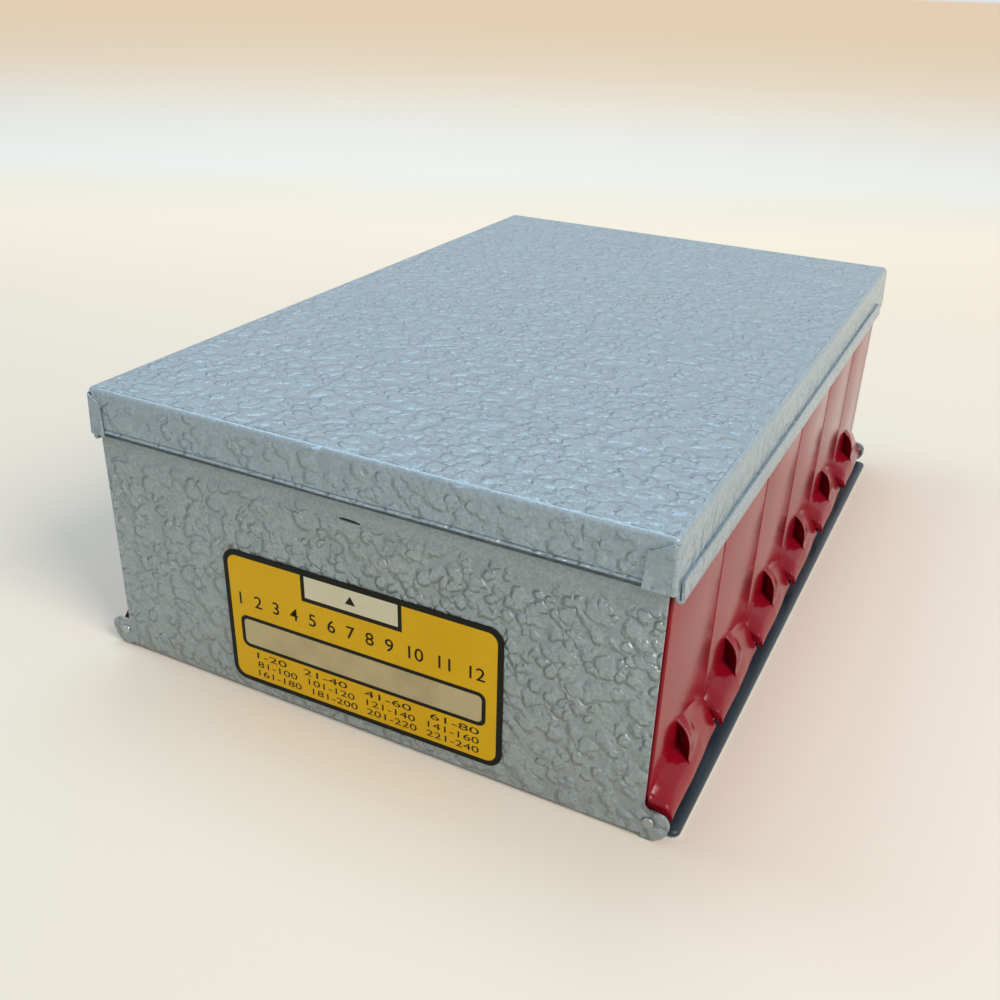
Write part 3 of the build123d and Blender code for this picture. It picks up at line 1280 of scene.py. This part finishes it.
@dataclass
class Tray:
    """Low navy tray whose edges turn down to the floor all round."""

    material: Material
    half_width: float = 60.1
    half_length: float = 82.4
    corner: float = 1.5
    height: float = 1.25
    sheet: float = 0.6
    rounding: tuple[Flat, ...] = ((-0.6, 0.0), (-0.35, 0.05), (-0.16, 0.18), (-0.05, 0.38), (0.0, 0.62))
    rim: tuple[Flat, ...] = ((0.0, 0.12), (-0.05, 0.03), (-0.14, 0.0), (-0.46, 0.0), (-0.6, 0.06))

    def loop(self, out: float, z: float) -> list[Point]:
        """The tray's plan outline, moved out and raised.

        Args:
            out: Distance outside the outline.
            z: Height.

        Returns:
            The points.
        """
        corner = self.corner + out
        points = []
        for x, y, start in ((1, 1, 0), (-1, 1, 90), (-1, -1, 180), (1, -1, 270)):
            centre = (x * (self.half_width - self.corner), y * (self.half_length - self.corner))
            points += [(a, b, z) for a, b in arc(centre, corner, start, start + 90, 8)]
        return points

    def build(self) -> None:
        """Makes the tray from its flat top, rounded edge, turned-down sides and hollow underside."""
        shaper = Shaper("tray_sheet")
        profile = [(out, self.height - drop) for out, drop in self.rounding]
        profile += [*self.rim, (-self.sheet, self.height - self.sheet)]
        rows = [self.loop(out, z) for out, z in profile]
        shaper.rows(rows, closed=True)
        shaper.face(rows[0])
        shaper.face(rows[-1][::-1])
        piece = shaper.build(self.material, "case", "base_tray", crease=50)
        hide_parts("base_tray")


@dataclass
class Compartment:
    """Moulded compartment: an open box with a foot, its hood and the bore round the hinge rod."""

    material: Material
    row_start: float = -83.2
    pitch: float = 27.8
    length: float = 27.4
    inner_x: float = 0.3
    wall_x: float = 54.9
    bottom: float = 2.0
    top: float = 46.2
    wall: float = 1.5
    end_wall: float = 1.0
    floor: float = 1.5
    edge_radius: float = 0.32
    rod_x: float = 55.55
    rod_z: float = 3.66
    bore: float = 1.65
    knuckle: float = 2.2
    relief: float = 2.9
    relief_top: float = 1.9
    relief_length: float = 3.0
    foot_rise: float = 4.2
    hood_at: float = 11.0
    hood_depth: float = 3.2
    hood_fall: float = 18.0
    hood_lead: float = 0.4
    hood_round: float = 0.12
    rim: float = 0.38
    nose_turn: Flat = (20.0, 45.0)
    relief_turn: Flat = (25.0, 40.0)
    nose: tuple[Flat, ...] = ((0.0, 0.42), (0.05, 0.22), (0.16, 0.08), (0.34, 0.0))
    front: tuple[Flat, ...] = (
        (-0.5, 8.0), (0.1, 7.45), (0.6, 7.2), (1.24, 7.06), (1.95, 7.0), (2.6, 6.88), (3.15, 6.6), (3.7, 6.0),
        (4.0, 5.4), (4.12, 4.7),
    )
    full: tuple[Flat, ...] = (
        (-0.5, 9.65), (0.0, 9.3), (0.6, 8.95), (1.28, 8.55), (2.0, 8.2), (2.66, 7.8), (3.2, 7.2), (3.7, 6.15),
        (4.05, 4.9),
    )
    hood: tuple[Flat, ...] = (
        (-0.7, 15.9), (0.0, 15.4), (0.7, 14.9), (1.45, 14.2), (2.1, 13.2), (2.55, 12.0), (2.8, 10.6), (2.86, 9.3),
        (2.9, 8.2), (3.2, 7.25), (3.7, 6.2), (4.05, 4.9),
    )
    fall: tuple[Flat, ...] = (
        (-0.7, 15.0), (-0.1, 13.9), (0.2, 12.6), (0.55, 11.5), (1.2, 10.3), (1.9, 9.1), (2.5, 7.9), (3.1, 6.5),
        (3.7, 4.5),
    )
    rear: tuple[Flat, ...] = (
        (-0.5, 9.9), (0.0, 9.3), (0.27, 8.9), (0.75, 8.05), (1.28, 7.05), (1.8, 6.15), (2.35, 5.2), (2.87, 4.3),
        (3.15, 3.8),
    )
    levels: tuple[float, ...] = (2.3, 2.7, 3.1, 3.66, 4.2, 4.6, 5.0, 5.35, 6.0, 20.0, 34.0)
    columns: tuple[float, ...] = (*range(-90, 21, 3), *range(21, 112), *range(112, 183, 3))

    def polar(self, curve: Sequence[Flat]) -> list[Flat]:
        """A foot outline as angle and radius about the rod, from the corner round to the wall.

        Args:
            curve: Points from the wall down to the outer corner, x from the wall.

        Returns:
            Pairs of angle and radius, rising in angle.
        """
        smooth = self.smoothed([(self.wall_x + x, z) for x, z in curve])
        low = (self.rod_x + self.knuckle * 0.93, self.rod_z - self.knuckle * 0.36)
        points = []
        for x, z in [low, *reversed(smooth)]:
            across, up = x - self.rod_x, z - self.rod_z
            points.append((math.degrees(math.atan2(up, across)), math.hypot(across, up)))
        return points

    def smoothed(self, points: Sequence[Flat]) -> list[Flat]:
        """A smooth curve through points.

        Args:
            points: At least three points.

        Returns:
            Eight points for each stretch.
        """
        ends = [points[0], *points, points[-1]]
        made = []
        for a, b, c, d in zip(ends, ends[1:], ends[2:], ends[3:]):
            for t in even(0.0, 0.875, 0.125):
                made.append(tuple(
                    0.5 * (2 * q + (r - p) * t + (2 * p - 5 * q + 4 * r - s) * t**2 + (3 * q - p - 3 * r + s) * t**3)
                    for p, q, r, s in zip(a, b, c, d)
                ))
        return [*made, points[-1]]

    def radius_at(self, outline: Sequence[Flat], angle: float) -> float:
        """Radius of a polar outline at an angle.

        Args:
            outline: Pairs of angle and radius, rising in angle.
            angle: The angle in degrees.

        Returns:
            The radius.
        """
        start, end = outline[0], outline[-1]
        if angle < start[0]:
            share = max(0.0, 1 - (start[0] - angle) / 12.0)
            return self.knuckle + (start[1] - self.knuckle) * share
        if angle >= end[0]:
            inside = self.wall_x - 0.7 - self.rod_x
            return max(self.knuckle, min(end[1], inside / math.cos(math.radians(angle))))
        for (a, first), (b, second) in zip(outline, outline[1:]):
            if a <= angle < b:
                return first + (second - first) * (angle - a) / (b - a)
        return end[1]

    def around(self, radii: Sequence[float], along: float | Sequence[float]) -> list[Point]:
        """Points at the columns' angles about the rod.

        Args:
            radii: One radius for each column.
            along: Distance along the compartment, one for all or one for each.

        Returns:
            Points (x, distance along the compartment, z).
        """
        places = along if isinstance(along, Sequence) else [along] * len(self.columns)
        turns = [math.radians(angle) for angle in self.columns]
        return [
            (self.rod_x + r * math.cos(a), at, self.rod_z + r * math.sin(a)) for r, at, a in zip(radii, places, turns)
        ]

    def rising(self, low: float, high: float) -> list[float]:
        """Share for each column that rises from 0 at one angle to 1 at another.

        Args:
            low: Angle in degrees up to which it is 0.
            high: Angle from which it is 1.

        Returns:
            The shares.
        """
        return [max(0.0, min(1.0, (angle - low) / (high - low))) for angle in self.columns]

    def foot_rows(self) -> list[list[Point]]:
        """Loops of the foot from its front end, over the hood to its rear end and back through the bore.

        Returns:
            Rows of points (x, distance along the compartment, z).
        """
        outlines = [self.polar(curve) for curve in (self.front, self.full, self.hood, self.fall, self.rear)]
        front, full, hood, fall, rear = [[self.radius_at(shape, a) for a in self.columns] for shape in outlines]
        starts = [0.0 if r > self.relief + 0.25 else self.relief_length for r in front]
        soft = self.rising(*self.nose_turn)
        rows = []
        for ahead, inset in self.nose:
            radii = [r - inset * w if start == 0 else r for r, w, start in zip(front, soft, starts)]
            rows.append(self.around(radii, [start + ahead * (start == 0) for start in starts]))
        for share in even(0.14, 1.0, 0.1):
            ease = math.sin(share * math.pi / 2)
            radii = [a + (b - a) * ease for a, b in zip(front, full)]
            rows.append(self.around(radii, [max(start, share * self.foot_rise) for start in starts]))
        rows.append(self.around(full, self.hood_at - self.hood_lead))
        edge = [max(f, h) for f, h in zip(full, hood)]
        inner = [max(f, h - self.rim * min(1.0, (h - f) / 0.5)) if h > f else f for f, h in zip(full, hood)]
        roof = self.wall_x + self.hood_depth
        deep = [self.hood_at + max(0.0, min(self.hood_depth, roof - x)) for x, _, _ in self.around(full, 0.0)]
        deep = [d if h > f + 0.03 else self.hood_at for d, f, h in zip(deep, full, hood)]
        between = [(a + b) / 2 for a, b in zip(inner, edge)]
        rows += [self.around(full, deep), self.around(inner, deep), self.around(inner, self.hood_at)]
        rows += [self.around(between, self.hood_at - self.hood_round), self.around(edge, self.hood_at)]
        for first, second, low, high in (
            (edge, fall, self.hood_at, self.hood_fall),
            (fall, rear, self.hood_fall, self.length),
        ):
            for share in even(0.125, 1.0, 0.125):
                radii = [a + (b - a) * share for a, b in zip(first, second)]
                rows.append(self.around(radii, low + (high - low) * share))
        bore = [self.bore] * len(self.columns)
        rows += [self.around(bore, self.length), self.around(bore, self.relief_length)]
        narrow = self.rising(*self.relief_turn)
        cut = [min(self.relief + (self.relief_top - self.relief) * share, r) for share, r in zip(narrow, front)]
        return [*rows, self.around(cut, self.relief_length), self.around(cut, starts)]

    def add_foot(self, shaper: Shaper) -> None:
        """Adds the foot, closed inside the wall.

        Args:
            shaper: Where the faces go.
        """
        rows = self.foot_rows()
        shaper.rows([*rows, rows[0]])

    def outline(self, inset: float, radius: float) -> list[Flat]:
        """Plan outline of the box with rounded upright edges.

        Args:
            inset: 0 for the outside, 1 for the inside of the walls.
            radius: Radius of the upright edges.

        Returns:
            Points of x and distance along the compartment.
        """
        low_x, high_x = self.inner_x + inset * self.wall, self.wall_x - inset * self.wall
        low_y, high_y = inset * self.end_wall, self.length - inset * self.end_wall
        points = []
        for x, y, start in ((high_x, high_y, 0), (low_x, high_y, 90), (low_x, low_y, 180), (high_x, low_y, 270)):
            across = x - radius if x == high_x else x + radius
            along = y - radius if y == high_y else y + radius
            points += arc((across, along), radius, start, start + 90, 5)
        return points

    def drawn_in(self, outline: Sequence[Flat], across: float, along: float, z: float) -> list[Point]:
        """A plan outline drawn in towards the middle of the box.

        Args:
            outline: The outline.
            across: Share of the way in along x.
            along: Share of the way in along the compartment.
            z: Its height.

        Returns:
            The points.
        """
        middle_x, middle_y = (self.inner_x + self.wall_x) / 2, self.length / 2
        return [(x + (middle_x - x) * across, y + (middle_y - y) * along, z) for x, y in outline]

    def add_box(self, shaper: Shaper) -> None:
        """Adds the open box.

        Args:
            shaper: Where the faces go.
        """
        outer = self.outline(0.0, self.edge_radius)
        inner = self.outline(1.0, 0.4)
        rows = []
        for z in (self.bottom, *self.levels, self.top - 0.3):
            drop = self.bore**2 - (z - self.rod_z) ** 2
            limit = self.rod_x - math.sqrt(drop) if drop > 0 else self.rod_x
            shrink = 0.3 if z == self.bottom else 0.0
            rows.append([(max(min(x, limit, self.wall_x - shrink), self.inner_x + shrink), y, z) for x, y in outer])
        rows += [self.drawn_in(outer, 0.003 * s, 0.012 * s, self.top - 0.3 + 0.3 * s) for s in (0.5, 1.0)]
        for z in (self.top, self.top - 0.5, 20.0, self.bottom + self.floor + 0.3):
            rows.append([(x, y, z) for x, y in inner])
        rows.append(self.drawn_in(inner, 0.01, 0.02, self.bottom + self.floor))
        shaper.rows(rows, closed=True)
        shaper.face(rows[0])
        shaper.face(rows[-1])

    def build(self) -> None:
        """Makes all twelve compartments."""
        for side in Side:
            shaper = Shaper("moulding")
            self.add_box(shaper)
            self.add_foot(shaper)
            if side is Side.LEFT:
                turn = Matrix.Rotation(math.pi, 4, "Z")
                shaper.mesh.transform(Matrix.Translation((0, self.length * MM, 0)) @ turn)
            pattern = shaper.build(self.material, "case", "compartments", crease=38)
            for number in range(1, 7):
                name = f"compartment_{side.name.lower()}_{number}"
                data = pattern.data.copy()
                data.transform(Matrix.Translation((0, (self.row_start + (number - 1) * self.pitch) * MM, 0)))
                piece = put(f"moulded_{name}", data)
                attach(piece, name)
                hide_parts(name)
                bevelled(piece, 0.11)
                LOG.info("%s: %d faces on %s", piece.name, len(data.polygons), name)
            bpy.data.objects.remove(pattern)


def dress(nodes: dict[str, Object], names: Sequence[str], material: Material) -> None:
    """Gives carried-over CAD nodes their finish.

    Args:
        nodes: The frame's nodes.
        names: Which of them.
        material: The finish.
    """
    for name in names:
        piece = nodes[name]
        for index in range(len(piece.material_slots)):
            piece.material_slots[index].link = "OBJECT"
            piece.material_slots[index].material = material
        LOG.info("%s dressed in %s", name, material.name)


def main() -> None:
    """Builds the looks in order."""
    logging.basicConfig(level=logging.INFO, format="%(message)s")
    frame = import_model()
    nodes = frame["nodes"]
    lid_enamel = EmbossedEnamel(
        "lid_enamel",
        (0.345, 0.435, 0.495),
        # Darker crevice colour: partly dirt, partly painted shade.
        (0.285, 0.36, 0.415),
        depth=0.6,
        smooth_bands=((54.9, 55.97, 0.9),),
        smooth_side=55.3,
    ).make()
    case_enamel = EmbossedEnamel("case_enamel", smooth_bands=((44.4, 47.2, 2.4),)).make()
    red = MouldedPlastic().make()
    navy = EdgedEnamel().make()
    rivet = PlainFinish("rivet_paint", (0.36, 0.41, 0.43), (0.26, 0.30, 0.31), (0.3, 0.42), metallic=0.25).make()
    steel = PlainFinish("bare_steel", (0.42, 0.45, 0.45), (0.28, 0.30, 0.30), (0.3, 0.45), metallic=1.0).make()
    # Near-black finish for the ring round each rivet head, which is a painted shadow.
    shade = PlainFinish("painted_rivet_shadow", (0.05, 0.055, 0.055), (0.03, 0.03, 0.03), (0.5, 0.7)).make()
    yellow = PlainFinish("yellow_print", (0.80, 0.475, 0.002), (0.68, 0.38, 0.002), (0.32, 0.45), gloss=0.2).make()
    ink = PlainFinish("black_ink", (0.006, 0.008, 0.004), (0.015, 0.016, 0.008), (0.4, 0.55), gloss=0.15).make()
    cream = PlainFinish("cream_print", (0.74, 0.71, 0.52), (0.62, 0.57, 0.38), (0.3, 0.45)).make()
    tan = PlainFinish(
        "tan_field", (0.56, 0.47, 0.25), (0.40, 0.33, 0.17), (0.3, 0.5), grain=260, depth=0.03, stain=0.8
    ).make()
    card = PlainFinish("card_stock", (0.72, 0.68, 0.55), (0.62, 0.56, 0.42), (0.7, 0.85)).make()
    Studio().build()
    Lid(lid_enamel).build()
    CaseSheet(case_enamel, rivet, shade).build()
    Label(yellow, ink, cream, tan).build()
    Compartment(red).build()
    Tray(navy).build()
    dress(nodes, ["hinge_rod_right", "hinge_rod_left", "lid_spring_front", "lid_spring_rear"], steel)
    dress(nodes, ["index_card"], card)


if __name__ == "__main__":
    main()
